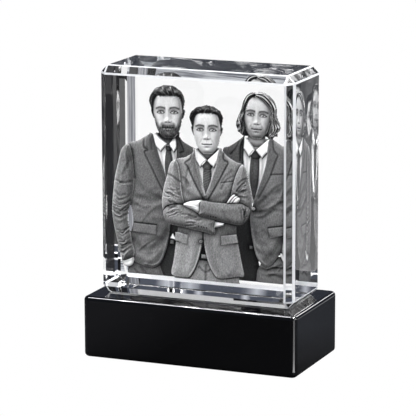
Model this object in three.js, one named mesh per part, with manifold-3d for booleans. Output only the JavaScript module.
// A crystal photo block: a bevelled clear block standing on a battery powered light base.
// Millimetres, +Z up. The origin is on the table under the middle of the base; the front faces -Y.

import * as THREE from 'three';
import { ConvexGeometry } from 'three/addons/geometries/ConvexGeometry.js';
import { mergeVertices } from 'three/addons/utils/BufferGeometryUtils.js';
import Module from 'manifold-3d';

// Crystal block
const CRYSTAL_WIDTH = 89;
const CRYSTAL_DEPTH = 36;
const CRYSTAL_HEIGHT = 100;
const END_BEVEL = 3.2;      // on the edges of the two end faces
const RIM_BEVEL = 3.4;      // on the long edges at the top and the bottom
const SEAT_GAP = 0.1;       // air film under the polished block

// Picture engraved in the crystal: three figures, one behind the other
const PICTURE_SIDE = 1;     // clear glass beside the picture
const PICTURE_FOOT = 6;     // and below it
const PICTURE_HEAD = 8.6;   // and over it
const PICTURE_BACK = 9.4;   // behind the rearmost figure's ground
const REAR_STEP = 7;        // from the rearmost figure's ground to the next one's
const FRONT_STEP = 3;       // and from there to the foremost one's
const FIGURE_BACKING = 0.4; // how far a figure goes back from its ground
const CLOTH_STEP = 2;       // straight pieces between two points of a soft outline
const VENT_WIDTH = 0.4;     // hair-fine way from each figure's hollow to the underside

// Base shell
const BASE_WIDTH = 98.5;
const BASE_DEPTH = 51;
const BASE_HEIGHT = 27;
const EDGE_ROUND = 1.8;
const CORNER_ROUND = 2.6;   // upright corners, in plan
const SIDE_WALL = 2.4;
const TOP_WALL = 2.6;

// Feet and the screws that they hide
const FOOT_STAND = 0.75;    // how far the feet hold the shell off the table
const FOOT_HEIGHT = 1.5;
const FOOT_RADIUS = 3.8;
const FOOT_FIT = 0.2;
const CORNER_INSET = 5.3;   // from the inside of the walls to the screw axes
const BOSS_RADIUS = 3.25;
const SCREW_HEAD_RADIUS = 2.3;
const SCREW_HEAD_HEIGHT = 1.1;
const SCREW_SHANK_RADIUS = 1.3;
const SCREW_FIT = 0.3;
const COVER_SCREW_LENGTH = 9;
const TRAY_SCREW_LENGTH = 6;

// Bottom cover and battery door
const COVER_THICKNESS = 3;
const COVER_FIT = 0.2;
const DOOR_THICKNESS = 1.6;
const DOOR_LEDGE = 1.4;     // the cover's ledge that the closed door lies under
const DOOR_FIT = 0.25;
const DOOR_RIB_WIDTH = 1.2;
const DOOR_RIB_HEIGHT = 0.5;
const FINGER_SCOOP_RADIUS = 6;
const FINGER_SCOOP_DEPTH = 2.2;

// Cells, size AAA, side by side and in series
const CELL_LENGTH = 44.5;
const CELL_RADIUS = 5.25;
const CELL_NUB_LENGTH = 1;
const CELL_NUB_RADIUS = 1.9;
const CELL_EDGE = 0.5;
const CELL_GAP = 1;         // between neighbours
const CELL_COUNT = 3;
const CELL_PLAY = 0.1;      // between a cell's end and its contact
const CELL_FLOOR_GAP = 0.25;
const BAY_FIT = 0.35;       // round each cell
const BAY_WALL = 1.5;

// Battery contacts
const CONTACT_THICKNESS = 0.5;
const CONTACT_SEAT = 0.1;
const CONTACT_WIDTH = 7.2;
const CONTACT_RISE = 3.2;   // above the cell's axis
const CONTACT_DROP = 4.5;   // below it
const LINK_HEIGHT = 2.6;    // the strip that joins two contacts
const SPRING_LENGTH = 5;
const SPRING_WIRE = 0.7;
const SPRING_TURNS = 3;
const SPRING_ROOT_RADIUS = 3.2;
const SPRING_TIP_RADIUS = 1.8;
const SOLDER_TAB_WIDTH = 3;
const SOLDER_TAB_REACH = 3; // outside the battery box
const SOLDER_TAB_RISE = 2;
const TAB_FIT = 0.3;

// Light window, reflector tray and lamp board
const WINDOW_WIDTH = 66;
const WINDOW_DEPTH = 16;
const WINDOW_LEDGE = 2;
const WINDOW_THICKNESS = 1.5;
const WINDOW_CORNER = 1.5;
const WINDOW_FIT = 0.2;
const FLUSH_GAP = 0.05;     // between faces that lie on each other
const TRAY_WALL = 1.5;
const TRAY_FLARE = 2;       // how much narrower the floor is, on each side
const TRAY_CLEARANCE = 1.6; // above the battery box
const TRAY_EAR_REACH = 3.4; // from the end wall to the screw axis
const TRAY_EAR_RADIUS = 3;
const TRAY_EAR_THICKNESS = 1.5;
const TRAY_BOSS_DROP = 4;
const BLIND_WALL = 1.2;     // left above a blind screw hole in the top
const WIRE_NOTCH_WIDTH = 2;
const WIRE_NOTCH_OFFSET = 4.7;
const WIRE_NOTCH_HEIGHT = 3;
const BOARD_THICKNESS = 1.2;
const BOARD_FIT = 0.25;
const LED_END_MARGIN = 1.5; // from the end lamps to the tray's walls
const LED_SIZE = 5;
const LED_HEIGHT = 1.6;
const LED_CUP_RADIUS = 2.1;
const LED_CUP_DEPTH = 0.5;
const RESISTOR_LENGTH = 3.2;
const RESISTOR_WIDTH = 1.6;
const RESISTOR_HEIGHT = 0.6;

// Slide switch behind the back wall
const SWITCH_X = 24;
const SWITCH_TRAVEL = 3;
const SWITCH_CAN_LENGTH = 12;
const SWITCH_CAN_HEIGHT = 5.5;
const SWITCH_CAN_DEPTH = 4.5;
const SWITCH_PLATE_THICKNESS = 0.6;
const SWITCH_BOSS_RADIUS = 2.3;
const SWITCH_BOSS_HEIGHT = 1.6;
const SWITCH_SCREW_LENGTH = 2.8;
const SWITCH_SCREW_HEAD_RADIUS = 1.7;
const SWITCH_SCREW_HEAD_HEIGHT = 1;
const SWITCH_SCREW_SHANK_RADIUS = 0.8;
const SWITCH_SCREW_FIT = 0.25;
const TERMINAL_PITCH = 3;
const TERMINAL_WIDTH = 1;
const TERMINAL_THICKNESS = 0.5;
const TERMINAL_LENGTH = 2.5;
const KNOB_WIDTH = 3.4;
const KNOB_HEIGHT = 3;
const KNOB_FIT = 0.3;
const KNOB_ROOT = 1.2;      // held inside the can
const KNOB_RECESS = 0.3;    // below the back face
const KNOB_GROOVES = 2;
const KNOB_GROOVE_DEPTH = 0.4;

// Inner wires
const WIRE_RADIUS = 0.65;
const WIRE_END_GAP = 0.3;

// Rounding of curves
const ROUND_SIDES = 18;
const SMALL_SIDES = 12;
const EDGE_STEPS = 5;
const ARC_STEPS = 3;        // an outline's arc gets twice as many segments
const WIRE_SIDES = 8;
const WIRE_STEPS = 18;
const CURL_STEPS = 8;
const CURL_SIDES = 5;
const OVERCUT = 1;          // how far a cutter runs past the face that it opens

// Heights worked out from the sizes above
const shellBottom = FOOT_STAND;
const shellTop = shellBottom + BASE_HEIGHT;
const ceiling = shellTop - TOP_WALL;
const coverTop = shellBottom + COVER_THICKNESS;
const doorTop = shellBottom + DOOR_THICKNESS;
const cellAxis = doorTop + DOOR_RIB_HEIGHT + CELL_FLOOR_GAP + CELL_RADIUS;
const boxTop = cellAxis + CELL_RADIUS + BAY_FIT + BAY_WALL;
const trayBottom = boxTop + TRAY_CLEARANCE;
const trayTop = ceiling - FLUSH_GAP;
const trayFloor = trayBottom + TRAY_WALL;
const boardTop = trayFloor + FLUSH_GAP + BOARD_THICKNESS;
const earTop = ceiling - TRAY_BOSS_DROP - FLUSH_GAP;
const switchHeight = (boxTop + ceiling) / 2;

// Plan sizes worked out from the sizes above
const innerWidth = BASE_WIDTH - 2 * SIDE_WALL;
const innerDepth = BASE_DEPTH - 2 * SIDE_WALL;
const screwX = innerWidth / 2 - CORNER_INSET;
const screwY = innerDepth / 2 - CORNER_INSET;
const cellPitch = 2 * CELL_RADIUS + CELL_GAP;
const bayLength = CELL_LENGTH + SPRING_LENGTH + 2 * (CONTACT_THICKNESS + CONTACT_SEAT + CELL_PLAY);
const bayWidth = CELL_COUNT * cellPitch;
const contactFace = bayLength / 2 - CONTACT_SEAT - CONTACT_THICKNESS;
const doorAxisX = -(bayLength / 2 + DOOR_LEDGE);
const doorAxisZ = shellBottom + DOOR_THICKNESS / 2;
const trayWidth = WINDOW_WIDTH + 2 * TRAY_WALL;
const trayDepth = WINDOW_DEPTH + 2 * TRAY_WALL;
const ledPitch = WINDOW_WIDTH / 2 - TRAY_FLARE - LED_END_MARGIN - LED_SIZE / 2;
const earX = trayWidth / 2 + TRAY_EAR_REACH;
const backInside = innerDepth / 2;
const plateFace = backInside - SWITCH_BOSS_HEIGHT - FLUSH_GAP;
const switchScrewX = SWITCH_CAN_LENGTH / 2 + SWITCH_SCREW_HEAD_RADIUS + SWITCH_SCREW_FIT;
const knobTip = BASE_DEPTH / 2 - KNOB_RECESS;
const terminalTip = plateFace - SWITCH_PLATE_THICKNESS - SWITCH_CAN_DEPTH - TERMINAL_LENGTH;

const screwHole = SCREW_SHANK_RADIUS + SCREW_FIT;
const switchHole = SWITCH_SCREW_SHANK_RADIUS + SWITCH_SCREW_FIT;
const knobSlotLength = KNOB_WIDTH + SWITCH_TRAVEL + 2 * KNOB_FIT;
const knobSlotHeight = KNOB_HEIGHT + 2 * KNOB_FIT;

const cornerSpots = [
  ['front_left', -1, -1],
  ['front_right', 1, -1],
  ['back_left', -1, 1],
  ['back_right', 1, 1],
];

const finishes = {
  crystal: { color: 0xf4f8fa, roughness: 0.02, metalness: 0, transparent: true, opacity: 0.35 },
  engraving: { color: 0xb9bcc0, roughness: 0.85, metalness: 0 },
  glossBlack: { color: 0x0c0c0e, roughness: 0.12, metalness: 0 },
  mattBlack: { color: 0x19191b, roughness: 0.55, metalness: 0 },
  frosted: { color: 0xe9eef0, roughness: 0.45, metalness: 0 },
  white: { color: 0xf2f2ee, roughness: 0.4, metalness: 0 },
  board: { color: 0xe6e8e2, roughness: 0.5, metalness: 0 },
  lamp: { color: 0xf3dd8a, roughness: 0.35, metalness: 0 },
  resistor: { color: 0x222226, roughness: 0.5, metalness: 0 },
  jacket: { color: 0x8e9297, roughness: 0.35, metalness: 0.4 },
  nickel: { color: 0xc9c8c2, roughness: 0.28, metalness: 1 },
  steel: { color: 0xa9abae, roughness: 0.32, metalness: 1 },
  redWire: { color: 0xa81c1a, roughness: 0.5, metalness: 0 },
  blackWire: { color: 0x151516, roughness: 0.5, metalness: 0 },
  rubber: { color: 0x232324, roughness: 0.85, metalness: 0 },
};

// Joining and cutting of closed shapes

const wasm = await Module();
wasm.setup();

function toSolid(geometry) {
  const bare = geometry.clone();
  bare.deleteAttribute('normal');
  bare.deleteAttribute('uv');
  const merged = mergeVertices(bare);
  return new wasm.Manifold(new wasm.Mesh({
    numProp: 3,
    vertProperties: merged.attributes.position.array,
    triVerts: new Uint32Array(merged.index.array),
  }));
}

function toGeometry(solid) {
  const mesh = solid.getMesh();
  const geometry = new THREE.BufferGeometry();
  geometry.setAttribute('position', new THREE.BufferAttribute(mesh.vertProperties, 3));
  geometry.setIndex(new THREE.BufferAttribute(mesh.triVerts, 1));
  geometry.computeVertexNormals();
  return geometry;
}

function join(first, ...others) {
  return toGeometry(others.reduce((sum, shape) => sum.add(toSolid(shape)), toSolid(first)));
}

function cut(body, ...tools) {
  return toGeometry(tools.reduce((rest, tool) => rest.subtract(toSolid(tool)), toSolid(body)));
}

// Plain shapes, standing on z = 0

function roundedOutline(width, depth, radius) {
  const x = width / 2 - radius;
  const y = depth / 2 - radius;
  const outline = new THREE.Shape();
  outline.absarc(x, y, radius, 0, Math.PI / 2);
  outline.absarc(-x, y, radius, Math.PI / 2, Math.PI);
  outline.absarc(-x, -y, radius, Math.PI, 1.5 * Math.PI);
  outline.absarc(x, -y, radius, 1.5 * Math.PI, 2 * Math.PI);
  outline.closePath();
  return outline;
}

function slab(width, depth, height, radius) {
  const outline = roundedOutline(width, depth, radius);
  const upright = { depth: height, bevelEnabled: false, curveSegments: ARC_STEPS };
  return new THREE.ExtrudeGeometry(outline, upright);
}

function brick(width, depth, height) {
  return new THREE.BoxGeometry(width, depth, height).translate(0, 0, height / 2);
}

function rod(radius, height, sides = ROUND_SIDES) {
  const upright = new THREE.CylinderGeometry(radius, radius, height, sides).rotateX(Math.PI / 2);
  return upright.translate(0, 0, height / 2);
}

function turned(profile, sides = ROUND_SIDES) {
  const points = profile.map(([radius, height]) => new THREE.Vector2(radius, height));
  return new THREE.LatheGeometry(points, sides).rotateX(Math.PI / 2);
}

function bar(outline, length) {
  const straight = { depth: length, bevelEnabled: false, curveSegments: ARC_STEPS };
  return new THREE.ExtrudeGeometry(outline, straight);
}

function tube(curve, radius, steps, sides) {
  const section = Array.from({ length: sides }, (_, i) => {
    const angle = 2 * Math.PI * i / sides;
    return new THREE.Vector2(radius * Math.cos(angle), radius * Math.sin(angle));
  });
  return new THREE.ExtrudeGeometry(new THREE.Shape(section), { steps, extrudePath: curve });
}

function pieceOf(name, geometry, finish) {
  const mesh = new THREE.Mesh(geometry, new THREE.MeshStandardMaterial(finishes[finish]));
  mesh.name = name;
  return mesh;
}

function placed(mesh, x, y, z) {
  mesh.position.set(x, y, z);
  return mesh;
}

// The picture, drawn in millimetres right of the block's middle and up from its underside. Each layer of a
// figure has its front, how far it stands out from the figure's ground, and an outline; a soft outline is a
// smooth curve through its points. Heads go by their own height, from the chin up to the crown.

const DRAWN_SIDE = 43.5;
const DRAWN_FOOT = 6;
const DRAWN_TOP = 91.4;

const faceOutline = [[0, 0], [0.2, 0.095], [0.29, 0.41], [0.285, 0.73], [0, 0.94], [-0.285, 0.73],
  [-0.29, 0.41], [-0.2, 0.095]];
const sweptHair = [[-0.32, 0.5], [-0.385, 0.7], [-0.26, 0.93], [0.05, 1.015], [0.3, 0.87], [0.355, 0.7],
  [0.315, 0.48], [0.26, 0.73], [0, 0.78], [-0.24, 0.76]];
const shortHair = [[-0.31, 0.52], [-0.378, 0.74], [-0.22, 0.945], [0.05, 1], [0.3, 0.89], [0.365, 0.74],
  [0.31, 0.5], [0.25, 0.77], [0, 0.815], [-0.22, 0.78]];
const longHairBehind = [[0, 0.99], [-0.3, 0.82], [-0.46, 0.36], [-0.38, 0.08], [0, 0.06], [0.4, 0.06],
  [0.52, 0.34], [0.4, 0.74]];
const longHairLeft = [[-0.03, 0.985], [-0.24, 0.86], [-0.355, 0.52], [-0.47, 0.24], [-0.28, 0.04],
  [-0.275, 0.45], [-0.2, 0.78]];
const longHairRight = [[-0.06, 0.965], [0.2, 0.965], [0.4, 0.7], [0.53, 0.24], [0.32, 0.02], [0.31, 0.42],
  [0.14, 0.78]];

function onHead([chinX, chinZ], [crownX, crownZ], points) {
  const [upX, upZ] = [crownX - chinX, crownZ - chinZ];
  return points.map(([u, v]) => [chinX + upZ * u + upX * v, chinZ - upX * u + upZ * v]);
}

function figures() {
  const rear = CRYSTAL_DEPTH / 2 - PICTURE_BACK;
  const left = {
    name: 'engraved_figure_left',
    ground: rear - REAR_STEP,
    aside: 0,
    ventX: -25,
    layers: [
      { front: 0.7, outline: [[-37, 6], [-35, 15], [-14, 31], [-13, 6]] },
      { front: 0.9, outline: [[-24.4, 70.3], [-21.6, 73], [-12.4, 73], [-11.8, 70.2], [-13, 54],
        [-19, 46]] },
      { front: 1.4, soft: true, outline: [[-12.6, 70.4], [-6, 65.4], [-2, 61.5], [-2, 50], [-9, 40],
        [-16.5, 46], [-13.4, 58]] },
      { front: 1.8, soft: true, outline: [[-25, 70.9], [-22.6, 65], [-16, 47], [-15.6, 36], [-17, 22.5],
        [-20.6, 12.8], [-26.2, 10.5], [-33.4, 13], [-33.6, 30], [-32.9, 46], [-36, 64.2], [-29, 67.8]] },
      { front: 2.3, soft: true, outline: [[-36.2, 64.5], [-39.8, 58.8], [-42.6, 45.5], [-43.4, 34],
        [-40.6, 19], [-38, 10.6], [-34, 11], [-33.2, 18], [-35.7, 31], [-32.9, 48], [-34, 61]] },
      { front: 1.5, soft: true, outline: onHead([-16.6, 68.3], [-17.3, 90.9], faceOutline) },
      { front: 2.1, soft: true, outline: onHead([-16.6, 68.3], [-17.3, 90.9], sweptHair) },
    ],
  };
  const middle = {
    name: 'engraved_figure_middle',
    ground: rear - REAR_STEP - FRONT_STEP,
    aside: 0,
    ventX: -8,
    layers: [
      { front: 1, outline: [[-14.2, 6], [-13.5, 14], [-3, 28], [4, 28], [16, 14], [17, 6]] },
      { front: 1.1, outline: [[-4, 65.4], [-2.6, 68], [6.6, 68], [7.9, 65.6], [2.6, 40], [0.4, 40]] },
      { front: 1.8, soft: true, outline: [[7.6, 65.6], [13, 61.4], [19.2, 58.4], [18.6, 43], [15.6, 31],
        [18.6, 12], [12, 9.2], [6.4, 9], [2, 16.4], [-0.4, 31], [1.6, 46]] },
      { front: 1.7, soft: true, outline: [[-3.8, 65.2], [-8, 61], [-13.6, 58.8], [-14, 42], [-12.2, 31],
        [-14.8, 10], [-9.5, 8], [-5.4, 9.2], [-1.8, 18.4], [0.3, 33], [0, 49]] },
      { front: 2.2, soft: true, outline: [[-13, 59.5], [-16.8, 52.5], [-19.2, 42], [-17.8, 33], [-9, 32],
        [-8.6, 41], [-10.6, 52]] },
      { front: 2.2, soft: true, outline: [[17.8, 59.2], [20.8, 54], [22.8, 44], [20.4, 35.6], [12, 35],
        [12.4, 44], [14.6, 53]] },
      { front: 2.4, soft: true, outline: [[-18.4, 36], [-12, 40.2], [0, 36.8], [9.6, 33.2], [5.2, 28.6],
        [-8, 30.2], [-17, 32]] },
      { front: 2.8, soft: true, outline: [[-9, 40.2], [-3, 42.2], [11, 42.4], [14.6, 46.2], [19, 42.6],
        [21.4, 39.6], [17.8, 33.4], [6, 34.6], [-3.4, 37.6]] },
      { front: 1.5, soft: true, outline: onHead([1.95, 63], [1.25, 84], faceOutline) },
      { front: 2, soft: true, outline: onHead([1.95, 63], [1.25, 84], shortHair) },
    ],
  };
  const right = {
    name: 'engraved_figure_right',
    ground: rear,
    aside: -2,
    ventX: 33,
    layers: [
      { front: 0.5, outline: [[16.4, 6], [16.4, 38], [24, 38], [26, 6]] },
      { front: 0.9, outline: [[23.7, 6], [25.6, 15.6], [38.4, 20], [42.2, 14], [41.8, 6]] },
      { front: 0.8, outline: [[17.8, 70.4], [20, 73], [29, 73], [30.8, 70.2], [24.8, 42], [21.2, 42],
        [17.6, 58]] },
      { front: 1.3, soft: true, outline: [[18.4, 70.6], [12.4, 66.3], [8.8, 63], [9.4, 56], [15, 50],
        [18.2, 57]] },
      { front: 1.8, soft: true, outline: [[30.6, 70.8], [39.2, 65.8], [39.8, 50], [38, 24], [33.4, 17.8],
        [28.8, 14.1], [24.1, 18.6], [21.4, 34], [24.2, 46], [28.6, 60]] },
      { front: 2.1, soft: true, outline: [[38.6, 66.3], [42, 61.5], [43.3, 46], [43.1, 31], [41, 19],
        [37.8, 16.6], [36.2, 21], [37, 38], [37, 56]] },
      { front: 0.7, soft: true, outline: onHead([24, 69.9], [24.9, 90.2], longHairBehind) },
      { front: 1.5, soft: true, outline: onHead([24, 69.9], [24.9, 90.2], faceOutline) },
      { front: 1.9, soft: true, outline: onHead([24, 69.9], [24.9, 90.2], longHairLeft) },
      { front: 1.9, soft: true, outline: onHead([24, 69.9], [24.9, 90.2], longHairRight) },
    ],
  };
  return [left, middle, right];
}

function inPicture(figure, [x, z]) {
  const stretch = (CRYSTAL_WIDTH / 2 - PICTURE_SIDE) / DRAWN_SIDE;
  const rise = (CRYSTAL_HEIGHT - PICTURE_FOOT - PICTURE_HEAD) / (DRAWN_TOP - DRAWN_FOOT);
  return new THREE.Vector3((x + figure.aside) * stretch, PICTURE_FOOT + (z - DRAWN_FOOT) * rise, 0);
}

// A figure, or with some room around it the hollow that it fills

function figureGeometry(figure, room) {
  const plates = figure.layers.map(({ front, outline, soft }) => {
    const corners = outline.map((point) => inPicture(figure, point));
    const curve = new THREE.CatmullRomCurve3(corners, true);
    const run = soft ? curve.getPoints(corners.length * CLOTH_STEP).slice(1) : corners;
    const shape = new THREE.Shape(run.map(({ x, y }) => new THREE.Vector2(x, y)));
    const depth = front + FIGURE_BACKING;
    const wider = { depth, bevelThickness: room, bevelSize: 0, bevelOffset: room, bevelSegments: 1 };
    const plate = new THREE.ExtrudeGeometry(shape, room > 0 ? wider : { depth, bevelEnabled: false });
    return plate.translate(0, 0, -FIGURE_BACKING).rotateX(Math.PI / 2).translate(0, figure.ground, 0);
  });
  return join(...plates);
}

function ventGeometry(figure) {
  const { x } = inPicture(figure, [figure.ventX, DRAWN_FOOT]);
  const vent = brick(VENT_WIDTH, VENT_WIDTH, PICTURE_FOOT + OVERCUT + VENT_WIDTH);
  return vent.translate(x, figure.ground, -OVERCUT);
}

// The crystal: a block with flat bevels on every edge and a small facet on every corner

function crystalGeometry() {
  const [w, d, h] = [CRYSTAL_WIDTH / 2, CRYSTAL_DEPTH / 2, CRYSTAL_HEIGHT / 2];
  const corners = [];
  for (const sx of [-1, 1]) {
    for (const sy of [-1, 1]) {
      for (const sz of [-1, 1]) {
        corners.push(new THREE.Vector3(sx * w, sy * (d - END_BEVEL), sz * (h - END_BEVEL)));
        corners.push(new THREE.Vector3(sx * (w - END_BEVEL), sy * d, sz * (h - RIM_BEVEL)));
        corners.push(new THREE.Vector3(sx * (w - END_BEVEL), sy * (d - RIM_BEVEL), sz * h));
      }
    }
  }
  const block = new ConvexGeometry(corners).translate(0, 0, h);
  const hollows = figures().map((figure) => figureGeometry(figure, FLUSH_GAP));
  return cut(block, ...hollows, ...figures().map(ventGeometry));
}

// The shell: a moulded cover with soft edges, open below, with screw bosses and a window in its top

function shellGeometry() {
  const flatWidth = BASE_WIDTH - 2 * EDGE_ROUND;
  const flatDepth = BASE_DEPTH - 2 * EDGE_ROUND;
  const outline = roundedOutline(flatWidth, flatDepth, CORNER_ROUND - EDGE_ROUND);
  const outside = new THREE.ExtrudeGeometry(outline, {
    depth: BASE_HEIGHT - 2 * EDGE_ROUND,
    bevelSize: EDGE_ROUND,
    bevelThickness: EDGE_ROUND,
    bevelSegments: EDGE_STEPS,
    curveSegments: ARC_STEPS,
  }).translate(0, 0, shellBottom + EDGE_ROUND);
  const hollow = slab(innerWidth, innerDepth, ceiling - shellBottom + OVERCUT, CORNER_ROUND / 2)
    .translate(0, 0, shellBottom - OVERCUT);

  const bosses = cornerSpots.map(([, sx, sy]) => {
    const bottom = coverTop + FLUSH_GAP;
    return rod(BOSS_RADIUS, ceiling - bottom + TOP_WALL / 2).translate(sx * screwX, sy * screwY, bottom);
  });
  const pilots = cornerSpots.map(([, sx, sy]) => rod(screwHole, COVER_SCREW_LENGTH + OVERCUT)
    .translate(sx * screwX, sy * screwY, coverTop - OVERCUT));

  for (const side of [-1, 1]) {
    const bossBottom = ceiling - TRAY_BOSS_DROP;
    bosses.push(rod(TRAY_EAR_RADIUS, TRAY_BOSS_DROP + TOP_WALL / 2).translate(side * earX, 0, bossBottom));
    pilots.push(rod(screwHole, shellTop - BLIND_WALL - bossBottom + OVERCUT)
      .translate(side * earX, 0, bossBottom - OVERCUT));
    const switchBoss = rod(SWITCH_BOSS_RADIUS, SWITCH_BOSS_HEIGHT + SIDE_WALL / 2, SMALL_SIDES);
    const switchPilotDepth = SWITCH_SCREW_LENGTH - SWITCH_PLATE_THICKNESS + SWITCH_SCREW_FIT;
    const switchPilot = rod(switchHole, switchPilotDepth + OVERCUT, SMALL_SIDES);
    const spot = [SWITCH_X + side * switchScrewX, backInside - SWITCH_BOSS_HEIGHT, switchHeight];
    bosses.push(switchBoss.rotateX(-Math.PI / 2).translate(...spot));
    pilots.push(switchPilot.rotateX(-Math.PI / 2).translate(spot[0], spot[1] - OVERCUT, spot[2]));
  }

  const windowHole = slab(WINDOW_WIDTH, WINDOW_DEPTH, TOP_WALL + 2 * OVERCUT, WINDOW_CORNER)
    .translate(0, 0, ceiling - OVERCUT);
  const windowSeat = slab(WINDOW_WIDTH + 2 * WINDOW_LEDGE, WINDOW_DEPTH + 2 * WINDOW_LEDGE,
    WINDOW_THICKNESS + 2 * FLUSH_GAP + OVERCUT, WINDOW_CORNER + WINDOW_LEDGE)
    .translate(0, 0, shellTop - WINDOW_THICKNESS - 2 * FLUSH_GAP);
  const knobSlot = brick(knobSlotLength, SIDE_WALL + 2 * OVERCUT, knobSlotHeight)
    .translate(SWITCH_X, backInside + SIDE_WALL / 2, switchHeight - knobSlotHeight / 2);

  const hollowed = cut(outside, hollow);
  return cut(join(hollowed, ...bosses), ...pilots, windowHole, windowSeat, knobSlot);
}

function windowGeometry() {
  const inset = 2 * (WINDOW_LEDGE - WINDOW_FIT);
  const corner = WINDOW_CORNER + WINDOW_LEDGE - WINDOW_FIT;
  return slab(WINDOW_WIDTH + inset, WINDOW_DEPTH + inset, WINDOW_THICKNESS, corner);
}

// The reflector tray: a white trough whose walls flare towards the window, hung by two ears

function trayGeometry() {
  const outside = slab(trayWidth, trayDepth, trayTop - trayBottom, WINDOW_CORNER + TRAY_WALL)
    .translate(0, 0, trayBottom);
  const rim = [];
  const [rimX, rimY] = [WINDOW_WIDTH / 2, WINDOW_DEPTH / 2];
  for (const [, sx, sy] of cornerSpots) {
    rim.push(new THREE.Vector3(sx * rimX, sy * rimY, trayTop + OVERCUT));
    rim.push(new THREE.Vector3(sx * rimX, sy * rimY, trayTop));
    rim.push(new THREE.Vector3(sx * (rimX - TRAY_FLARE), sy * (rimY - TRAY_FLARE), trayFloor));
  }
  const ears = [];
  const openings = [new ConvexGeometry(rim)];
  for (const side of [-1, 1]) {
    const reach = TRAY_EAR_REACH + TRAY_WALL / 2;
    const earBottom = earTop - TRAY_EAR_THICKNESS;
    ears.push(brick(reach, 2 * TRAY_EAR_RADIUS, TRAY_EAR_THICKNESS)
      .translate(side * (earX - reach / 2), 0, earBottom));
    ears.push(rod(TRAY_EAR_RADIUS, TRAY_EAR_THICKNESS).translate(side * earX, 0, earBottom));
    openings.push(rod(screwHole, TRAY_EAR_THICKNESS + 2 * OVERCUT)
      .translate(side * earX, 0, earBottom - OVERCUT));
    openings.push(brick(4 * TRAY_FLARE, WIRE_NOTCH_WIDTH, WIRE_NOTCH_HEIGHT)
      .translate(side * trayWidth / 2, WIRE_NOTCH_OFFSET, boardTop));
  }
  return cut(join(outside, ...ears), ...openings);
}

function boardGeometry() {
  const inset = 2 * (TRAY_FLARE + BOARD_FIT);
  return brick(WINDOW_WIDTH - inset, WINDOW_DEPTH - inset, BOARD_THICKNESS);
}

function lampGeometry() {
  const cupFloor = LED_CUP_RADIUS - LED_CUP_DEPTH;
  const cup = turned([[0, 0], [cupFloor, 0], [LED_CUP_RADIUS, LED_CUP_DEPTH], [0, LED_CUP_DEPTH]])
    .translate(0, 0, LED_HEIGHT - LED_CUP_DEPTH);
  return cut(brick(LED_SIZE, LED_SIZE, LED_HEIGHT), cup);
}

// A pan head screw with a cross recess: the shank points along +Z from the seat of the head

function screwGeometry(headRadius, headHeight, shankRadius, length) {
  const crown = headHeight / 3;
  const point = shankRadius / 2;
  const screw = turned([
    [0, -headHeight], [headRadius - crown, -headHeight], [headRadius, crown - headHeight], [headRadius, 0],
    [shankRadius, 0], [shankRadius, length - point], [point, length], [0, length],
  ]);
  const slot = headRadius / 4;
  const recess = headHeight / 2;
  const along = brick(headRadius, slot, recess + OVERCUT).translate(0, 0, -headHeight - OVERCUT);
  const across = brick(slot, headRadius, recess + OVERCUT).translate(0, 0, -headHeight - OVERCUT);
  return cut(screw, along, across);
}

// The bottom cover: a plate with the battery box standing on it and a recess below for the door

function coverGeometry() {
  const [plateWidth, plateDepth] = [innerWidth - 2 * COVER_FIT, innerDepth - 2 * COVER_FIT];
  const plate = slab(plateWidth, plateDepth, COVER_THICKNESS, CORNER_ROUND / 2).translate(0, 0, shellBottom);
  const box = slab(bayLength + 2 * BAY_WALL, bayWidth + 2 * BAY_WALL, boxTop - coverTop + OVERCUT, BAY_WALL)
    .translate(0, 0, coverTop - OVERCUT);

  const below = shellBottom - OVERCUT;
  const openings = [brick(bayLength, bayWidth, cellAxis - below).translate(0, 0, below)];
  for (let i = 0; i < CELL_COUNT; i += 1) {
    openings.push(rod(CELL_RADIUS + BAY_FIT, bayLength, 2 * ROUND_SIDES).rotateY(Math.PI / 2)
      .translate(-bayLength / 2, cellY(i), cellAxis));
  }

  const recessDepth = DOOR_THICKNESS + DOOR_FIT / 2;
  openings.push(brick(bayLength + 2 * DOOR_LEDGE, bayWidth + 2 * DOOR_LEDGE, recessDepth + OVERCUT)
    .translate(0, 0, below));
  openings.push(rod(DOOR_THICKNESS / 2 + DOOR_FIT, bayWidth + 2 * DOOR_LEDGE).rotateX(Math.PI / 2)
    .translate(doorAxisX, bayWidth / 2 + DOOR_LEDGE, doorAxisZ));
  openings.push(rod(FINGER_SCOOP_RADIUS, FINGER_SCOOP_DEPTH + OVERCUT)
    .translate(bayLength / 2 + DOOR_LEDGE, 0, below));

  for (const [, sx, sy] of cornerSpots) {
    const [x, y] = [sx * screwX, sy * screwY];
    const headSeat = FOOT_HEIGHT + FLUSH_GAP;
    openings.push(rod(FOOT_RADIUS + FOOT_FIT, headSeat - below).translate(x, y, below));
    const headHole = rod(SCREW_HEAD_RADIUS + SCREW_FIT, headSeat + SCREW_HEAD_HEIGHT - below);
    openings.push(headHole.translate(x, y, below));
    openings.push(rod(screwHole, COVER_THICKNESS + OVERCUT).translate(x, y, headSeat));
  }
  const tabSlot = [BAY_WALL + 2 * OVERCUT, SOLDER_TAB_WIDTH + 2 * TAB_FIT, CONTACT_THICKNESS + 2 * TAB_FIT];
  const slotBottom = cellAxis + SOLDER_TAB_RISE - TAB_FIT;
  const slotX = bayLength / 2 + BAY_WALL / 2;
  openings.push(brick(...tabSlot).translate(slotX, cellY(0), slotBottom));
  openings.push(brick(...tabSlot).translate(-slotX, cellY(CELL_COUNT - 1), slotBottom));
  return cut(join(plate, box), ...openings);
}

// The battery door: a plate whose left edge is a round bead that turns in the cover's groove

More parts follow.
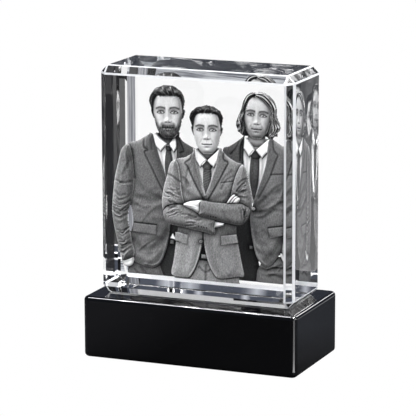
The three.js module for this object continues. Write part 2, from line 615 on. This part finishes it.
function doorGeometry() {
  const span = bayWidth + 2 * (DOOR_LEDGE - DOOR_FIT);
  const reach = bayLength + 2 * DOOR_LEDGE - DOOR_FIT;
  const half = DOOR_THICKNESS / 2;
  const side = new THREE.Shape();
  side.absarc(0, 0, half, Math.PI / 2, 1.5 * Math.PI);
  side.lineTo(reach, -half);
  side.lineTo(reach, half);
  side.closePath();
  const leaf = bar(side, span).rotateX(Math.PI / 2).translate(0, span / 2, 0);
  const ribs = [];
  for (const y of [-cellPitch / 2, cellPitch / 2]) {
    ribs.push(brick(CELL_LENGTH / 2, DOOR_RIB_WIDTH, DOOR_RIB_HEIGHT + half).translate(-doorAxisX, y, 0));
  }
  return join(leaf, ...ribs);
}

// Cells and their contacts

function cellY(index) {
  return (index - (CELL_COUNT - 1) / 2) * cellPitch;
}

// The cells lie head to tail, and the first one's nub points to +X
function cellSide(index) {
  return index % 2 === 0 ? 1 : -1;
}

function cellGeometry(side) {
  const shoulder = CELL_LENGTH - CELL_NUB_LENGTH;
  const cell = turned([
    [0, 0], [CELL_RADIUS - CELL_EDGE, 0], [CELL_RADIUS, CELL_EDGE], [CELL_RADIUS, shoulder - CELL_EDGE],
    [CELL_RADIUS - CELL_EDGE, shoulder], [CELL_NUB_RADIUS, shoulder],
    [CELL_NUB_RADIUS, CELL_LENGTH], [0, CELL_LENGTH],
  ]);
  return cell.translate(0, 0, -CELL_LENGTH).rotateY(side * Math.PI / 2);
}

class SpringCurve extends THREE.Curve {
  getPoint(t, target = new THREE.Vector3()) {
    const angle = 2 * Math.PI * SPRING_TURNS * t;
    const radius = THREE.MathUtils.lerp(SPRING_ROOT_RADIUS, SPRING_TIP_RADIUS, t);
    const rise = (SPRING_LENGTH - SPRING_WIRE / 2) * t;
    return target.set(radius * Math.cos(angle), radius * Math.sin(angle), rise);
  }
}

function springGeometry() {
  return tube(new SpringCurve(), SPRING_WIRE / 2, SPRING_TURNS * CURL_STEPS, CURL_SIDES);
}

// The least clear gap between one curl and the next, measured on points of the curve
function springGap() {
  const points = new SpringCurve().getPoints(SPRING_TURNS * CURL_STEPS);
  let least = Infinity;
  for (let i = 0; i < points.length; i += 1) {
    for (let j = i + CURL_STEPS - 1; j < points.length; j += 1) {
      least = Math.min(least, points[i].distanceTo(points[j]));
    }
  }
  return least - SPRING_WIRE;
}

// Contacts stand on an end wall of the bay, in a frame whose +Z points at the cells and +X points up
function contactPlate(y) {
  const height = CONTACT_RISE + CONTACT_DROP;
  return brick(height, CONTACT_WIDTH, CONTACT_THICKNESS)
    .translate((CONTACT_RISE - CONTACT_DROP) / 2, y, -CONTACT_THICKNESS);
}

function contactLink(from, to) {
  return brick(LINK_HEIGHT, Math.abs(to - from), CONTACT_THICKNESS)
    .translate(-CONTACT_DROP + LINK_HEIGHT / 2, (from + to) / 2, -CONTACT_THICKNESS);
}

function solderTab(y) {
  const length = CONTACT_THICKNESS + CONTACT_SEAT + BAY_WALL + SOLDER_TAB_REACH;
  return brick(CONTACT_THICKNESS, SOLDER_TAB_WIDTH, length)
    .translate(SOLDER_TAB_RISE + CONTACT_THICKNESS / 2, y, -length);
}

// The end of the bay at one side, as a group in which the contacts are placed. Its +Y is side times +Y
function bayEnd(side) {
  const end = new THREE.Group();
  end.position.set(side * contactFace, 0, cellAxis);
  end.rotation.set(0, -side * Math.PI / 2, side > 0 ? 0 : Math.PI);
  return end;
}

// Slide switch: a metal can on a plate with two ears, and a grooved knob that slides along X

function switchGeometry() {
  const plateLength = 2 * switchScrewX + SWITCH_CAN_HEIGHT;
  const plateRound = SWITCH_CAN_HEIGHT / 2 - FLUSH_GAP;
  const plate = slab(plateLength, SWITCH_CAN_HEIGHT, SWITCH_PLATE_THICKNESS, plateRound);
  const can = brick(SWITCH_CAN_LENGTH, SWITCH_CAN_HEIGHT, SWITCH_CAN_DEPTH + SWITCH_PLATE_THICKNESS / 2)
    .translate(0, 0, -SWITCH_CAN_DEPTH);
  const terminal = brick(TERMINAL_WIDTH, TERMINAL_THICKNESS, TERMINAL_LENGTH + OVERCUT)
    .translate(0, 0, -SWITCH_CAN_DEPTH - TERMINAL_LENGTH);
  const terminals = [-1, 0, 1].map((step) => terminal.clone().translate(step * TERMINAL_PITCH, 0, 0));
  const slot = brick(knobSlotLength, knobSlotHeight, KNOB_ROOT + KNOB_FIT + OVERCUT)
    .translate(0, 0, SWITCH_PLATE_THICKNESS - KNOB_ROOT - KNOB_FIT);
  const holes = [-1, 1].map((side) => rod(switchHole, SWITCH_PLATE_THICKNESS + 2 * OVERCUT, SMALL_SIDES)
    .translate(side * switchScrewX, 0, -OVERCUT));
  return cut(join(plate, can, ...terminals), slot, ...holes);
}

function knobGeometry() {
  const length = knobTip - plateFace + KNOB_ROOT;
  const step = KNOB_WIDTH / (2 * KNOB_GROOVES + 1);
  const side = new THREE.Shape();
  side.moveTo(-KNOB_WIDTH / 2, 0);
  side.lineTo(KNOB_WIDTH / 2, 0);
  side.lineTo(KNOB_WIDTH / 2, length);
  for (let i = 0; i < KNOB_GROOVES; i += 1) {
    const start = KNOB_WIDTH / 2 - (2 * i + 1) * step;
    side.lineTo(start, length);
    side.lineTo(start - step / 2, length - KNOB_GROOVE_DEPTH);
    side.lineTo(start - step, length);
  }
  side.lineTo(-KNOB_WIDTH / 2, length);
  side.closePath();
  return bar(side, KNOB_HEIGHT).translate(0, -KNOB_ROOT, -KNOB_HEIGHT / 2);
}

function footGeometry() {
  const soft = FOOT_STAND / 2;
  return turned([
    [0, 0], [FOOT_RADIUS - soft, 0], [FOOT_RADIUS, soft], [FOOT_RADIUS, FOOT_HEIGHT], [0, FOOT_HEIGHT],
  ]);
}

function wireGeometry(points) {
  const curve = new THREE.CatmullRomCurve3(points.map((point) => new THREE.Vector3(...point)));
  return tube(curve, WIRE_RADIUS, WIRE_STEPS, WIRE_SIDES);
}

// Assembly

function crystalGroup() {
  const group = new THREE.Group();
  group.position.z = shellTop + SEAT_GAP;
  group.add(pieceOf('crystal_block', crystalGeometry(), 'crystal'));
  for (const figure of figures()) {
    group.add(pieceOf(figure.name, figureGeometry(figure, 0), 'engraving'));
  }
  return group;
}

function shellGroup() {
  const group = new THREE.Group();
  group.add(pieceOf('base_shell', shellGeometry(), 'glossBlack'));
  const windowBottom = shellTop - WINDOW_THICKNESS - FLUSH_GAP;
  group.add(placed(pieceOf('light_window', windowGeometry(), 'frosted'), 0, 0, windowBottom));
  return group;
}

function lampGroup() {
  const group = new THREE.Group();
  group.add(pieceOf('reflector_tray', trayGeometry(), 'white'));
  group.add(placed(pieceOf('led_board', boardGeometry(), 'board'), 0, 0, trayFloor + FLUSH_GAP));
  ['led_left', 'led_middle', 'led_right'].forEach((name, i) => {
    group.add(placed(pieceOf(name, lampGeometry(), 'lamp'), (i - 1) * ledPitch, 0, boardTop + FLUSH_GAP));
  });
  const resistor = new THREE.BoxGeometry(RESISTOR_LENGTH, RESISTOR_WIDTH, RESISTOR_HEIGHT);
  const resistorHeight = boardTop + FLUSH_GAP + RESISTOR_HEIGHT / 2;
  group.add(placed(pieceOf('board_resistor', resistor, 'resistor'), ledPitch / 2, 0, resistorHeight));
  for (const [name, side] of [['tray_screw_left', -1], ['tray_screw_right', 1]]) {
    const screw = screwGeometry(SCREW_HEAD_RADIUS, SCREW_HEAD_HEIGHT, SCREW_SHANK_RADIUS, TRAY_SCREW_LENGTH);
    const seat = earTop - TRAY_EAR_THICKNESS - FLUSH_GAP;
    group.add(placed(pieceOf(name, screw, 'steel'), side * earX, 0, seat));
  }
  return group;
}

function batteryGroup() {
  const group = new THREE.Group();
  group.add(pieceOf('bottom_cover', coverGeometry(), 'mattBlack'));
  group.add(placed(pieceOf('battery_door', doorGeometry(), 'mattBlack'), doorAxisX, 0, doorAxisZ));
  ['cell_front', 'cell_middle', 'cell_rear'].forEach((name, i) => {
    const nubEnd = cellSide(i) * (contactFace - CELL_PLAY);
    group.add(placed(pieceOf(name, cellGeometry(cellSide(i)), 'jacket'), nubEnd, cellY(i), cellAxis));
  });

  const [front, middle, rear] = [cellY(0), cellY(1), cellY(2)];
  const spring = springGeometry();
  const rightEnd = bayEnd(1);
  rightEnd.add(pieceOf('contact_plus', join(contactPlate(front), solderTab(front)), 'nickel'));
  rightEnd.add(pieceOf('contact_pair_right', join(contactPlate(middle), contactPlate(rear),
    contactLink(middle, rear), spring.clone().translate(0, middle, 0)), 'nickel'));
  const leftEnd = bayEnd(-1);
  leftEnd.add(pieceOf('contact_pair_left', join(contactPlate(-front), contactPlate(-middle),
    contactLink(-front, -middle), spring.clone().translate(0, -front, 0)), 'nickel'));
  leftEnd.add(pieceOf('contact_minus', join(contactPlate(-rear), solderTab(-rear),
    spring.clone().translate(0, -rear, 0)), 'nickel'));
  group.add(rightEnd, leftEnd);
  return group;
}

function switchGroup() {
  const group = new THREE.Group();
  const turnedBack = new THREE.Group();
  turnedBack.position.set(SWITCH_X, plateFace - SWITCH_PLATE_THICKNESS, switchHeight);
  turnedBack.rotation.x = -Math.PI / 2;
  turnedBack.add(pieceOf('switch_body', switchGeometry(), 'steel'));
  for (const [name, side] of [['switch_screw_left', -1], ['switch_screw_right', 1]]) {
    const screw = screwGeometry(SWITCH_SCREW_HEAD_RADIUS, SWITCH_SCREW_HEAD_HEIGHT,
      SWITCH_SCREW_SHANK_RADIUS, SWITCH_SCREW_LENGTH);
    turnedBack.add(placed(pieceOf(name, screw, 'steel'), side * switchScrewX, 0, -FLUSH_GAP));
  }
  group.add(turnedBack);
  const knobX = SWITCH_X - SWITCH_TRAVEL / 2;
  group.add(placed(pieceOf('switch_knob', knobGeometry(), 'mattBlack'), knobX, plateFace, switchHeight));
  return group;
}

function cornerGroup() {
  const group = new THREE.Group();
  for (const [corner, sx, sy] of cornerSpots) {
    const shank = [SCREW_SHANK_RADIUS, COVER_SCREW_LENGTH];
    const screw = screwGeometry(SCREW_HEAD_RADIUS, SCREW_HEAD_HEIGHT, ...shank);
    const seat = FOOT_HEIGHT + SCREW_HEAD_HEIGHT + FLUSH_GAP / 2;
    group.add(placed(pieceOf(`cover_screw_${corner}`, screw, 'steel'), sx * screwX, sy * screwY, seat));
    group.add(placed(pieceOf(`foot_${corner}`, footGeometry(), 'rubber'), sx * screwX, sy * screwY, 0));
  }
  return group;
}

function wireGroup() {
  const group = new THREE.Group();
  const tabEnd = bayLength / 2 + BAY_WALL + SOLDER_TAB_REACH;
  const tabHeight = cellAxis + SOLDER_TAB_RISE + CONTACT_THICKNESS / 2;
  const padX = WINDOW_WIDTH / 2 - TRAY_FLARE - 2 * WIRE_RADIUS;
  const padHeight = boardTop + WIRE_RADIUS + WIRE_END_GAP;
  const endX = trayWidth / 2 + TRAY_EAR_REACH / 2;
  const terminalEnd = terminalTip - WIRE_END_GAP;
  const below = (boxTop + trayBottom) / 2;

  const fromPlus = [
    [tabEnd + WIRE_END_GAP, cellY(0), tabHeight], [tabEnd + 3, cellY(0) + 1, tabHeight],
    [tabEnd + 4.5, cellY(0) + 6, tabHeight + 1], [tabEnd + 4.5, 4, below - 2],
    [tabEnd + 1, trayDepth / 2 + 1, below - 1], [SWITCH_X, terminalEnd - 0.9, below + 1],
    [SWITCH_X - TERMINAL_PITCH, terminalEnd - 0.9, switchHeight - 1.6],
    [SWITCH_X - TERMINAL_PITCH, terminalEnd, switchHeight],
  ];
  const switched = [
    [SWITCH_X + TERMINAL_PITCH, terminalEnd, switchHeight],
    [SWITCH_X + TERMINAL_PITCH + 0.8, terminalEnd - 0.8, switchHeight],
    [SWITCH_X + 8, terminalEnd - 0.9, switchHeight], [endX, terminalEnd - 1.6, padHeight],
    [endX + 0.9, WIRE_NOTCH_OFFSET + 2.6, padHeight], [endX - 1.4, WIRE_NOTCH_OFFSET, padHeight],
    [padX, WIRE_NOTCH_OFFSET, padHeight],
  ];
  const fromMinus = [
    [-tabEnd - WIRE_END_GAP, cellY(2), tabHeight], [-tabEnd - 3, cellY(2), tabHeight],
    [-tabEnd - 5, cellY(2) - 1, tabHeight + 3], [-endX - 1, WIRE_NOTCH_OFFSET + 4.5, padHeight - 3],
    [-endX - 0.4, WIRE_NOTCH_OFFSET + 1.6, padHeight], [-endX + 1.6, WIRE_NOTCH_OFFSET, padHeight],
    [-padX, WIRE_NOTCH_OFFSET, padHeight],
  ];
  group.add(pieceOf('wire_plus', wireGeometry(fromPlus), 'redWire'));
  group.add(pieceOf('wire_switched', wireGeometry(switched), 'redWire'));
  group.add(pieceOf('wire_minus', wireGeometry(fromMinus), 'blackWire'));
  return group;
}

console.log(`Least gap between the curls of a contact spring: ${springGap().toFixed(2)} mm`);

const photoBlock = new THREE.Group();
photoBlock.add(crystalGroup(), shellGroup(), lampGroup(), batteryGroup());
photoBlock.add(switchGroup(), cornerGroup(), wireGroup());

export default photoBlock;
